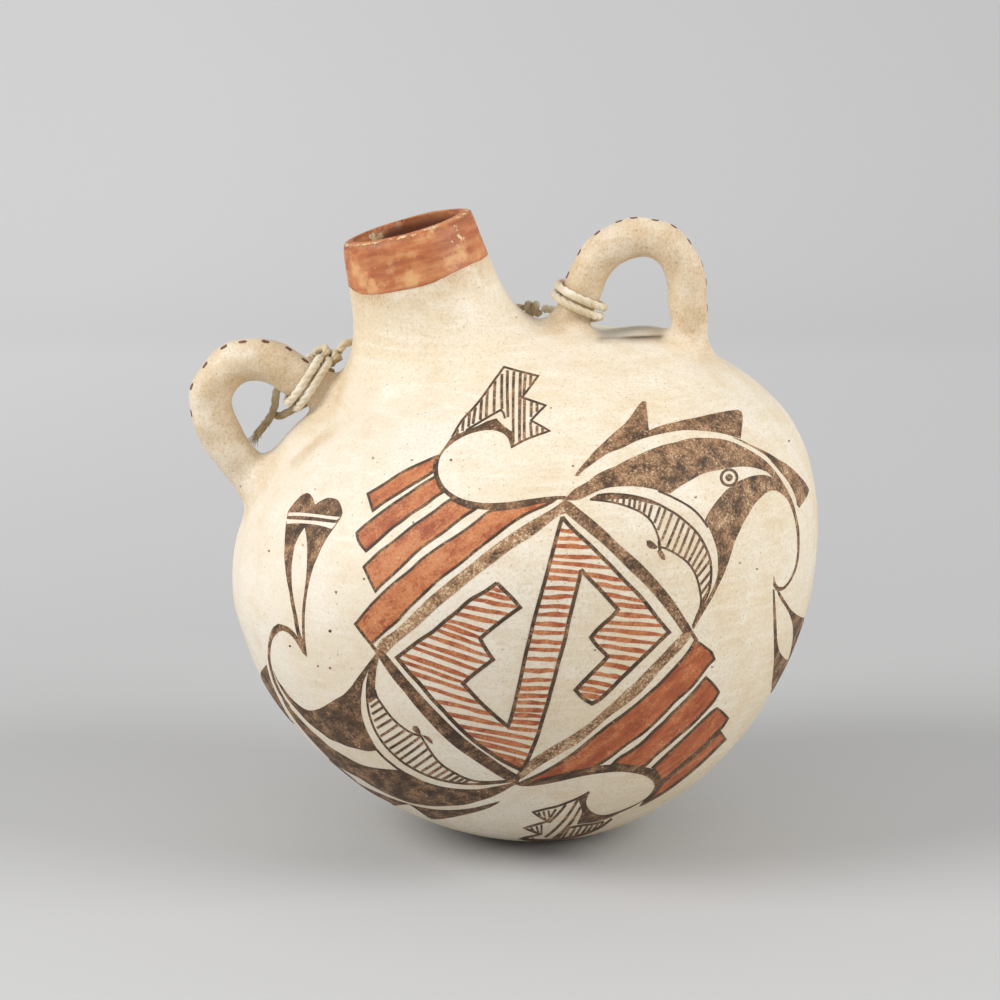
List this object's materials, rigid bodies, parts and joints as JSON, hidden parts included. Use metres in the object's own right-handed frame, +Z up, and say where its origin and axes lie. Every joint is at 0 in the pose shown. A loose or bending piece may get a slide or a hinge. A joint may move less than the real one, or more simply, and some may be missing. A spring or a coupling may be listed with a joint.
{
  "type": "canteen jar",
  "caption": "Round pottery water jar with a short neck, loop handles on its shoulders and a cotton cord tied from one handle to the other behind the neck.",
  "frame": {"origin": "the middle of the small worn flat that the leaning jar rests on", "axes": "+Z up. The painted side faces -Y. The neck and the middle between the handles lean 15 degrees towards -X."},
  "size_m": [0.2267, 0.216, 0.2293],
  "materials": {
    "cream_slip": "satin, stone-polished slip, painted in dark brown and red",
    "cotton_cord": "matt, twisted, soiled"
  },
  "bodies": {
    "root": {"jar_body": "cream_slip", "neck": "cream_slip", "left_handle": "cream_slip", "right_handle": "cream_slip", "cord_left_wrap": "cotton_cord", "cord_left_knot": "cotton_cord", "cord_long_tail": "cotton_cord", "cord_short_tail": "cotton_cord", "cord_neck_run": "cotton_cord", "cord_right_knot": "cotton_cord", "cord_right_wrap": "cotton_cord"}
  },
  "joints": []
}
